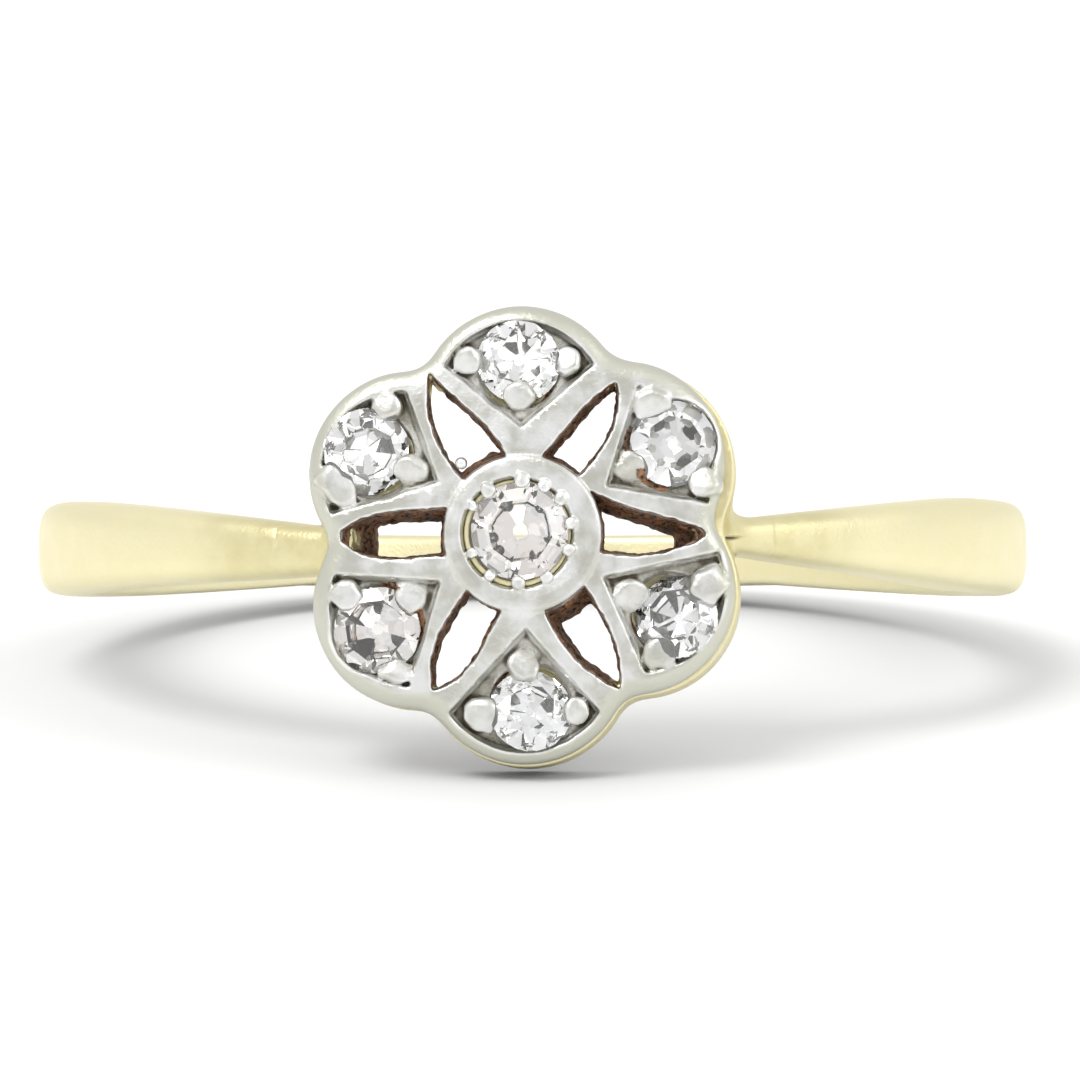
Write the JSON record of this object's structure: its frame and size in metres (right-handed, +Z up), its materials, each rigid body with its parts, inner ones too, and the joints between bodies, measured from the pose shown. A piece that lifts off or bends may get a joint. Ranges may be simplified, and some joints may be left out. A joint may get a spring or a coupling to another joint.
{
  "type": "cluster ring",
  "caption": "Flower-shaped cluster ring: a gold hoop soldered to a gold gallery, with a pierced white metal flower plate on it that holds a centre stone ringed by petal stones.",
  "frame": {"origin": "centre of the bounding box's footprint, on the surface that the ring lies on", "axes": "+Z up, +X to the right as one faces the head, -Y the way that the head faces; the finger's axis leans 11.8 degrees back from +Z, because the ring lies on the lowest petal and the back of the hoop"},
  "size_m": [0.0194, 0.0205, 0.0089],
  "materials": {
    "gold": "satin, softly worn",
    "white_metal": "polished and worn, with dark tarnish in the piercings",
    "diamond": "cut and polished, near colourless"
  },
  "bodies": {
    "root": {"band": "gold", "face": "white_metal", "centre_stone": "diamond", "stone_top": "diamond", "stone_upper_left": "diamond", "stone_upper_right": "diamond", "stone_lower_left": "diamond", "stone_lower_right": "diamond", "stone_bottom": "diamond"}
  },
  "joints": []
}
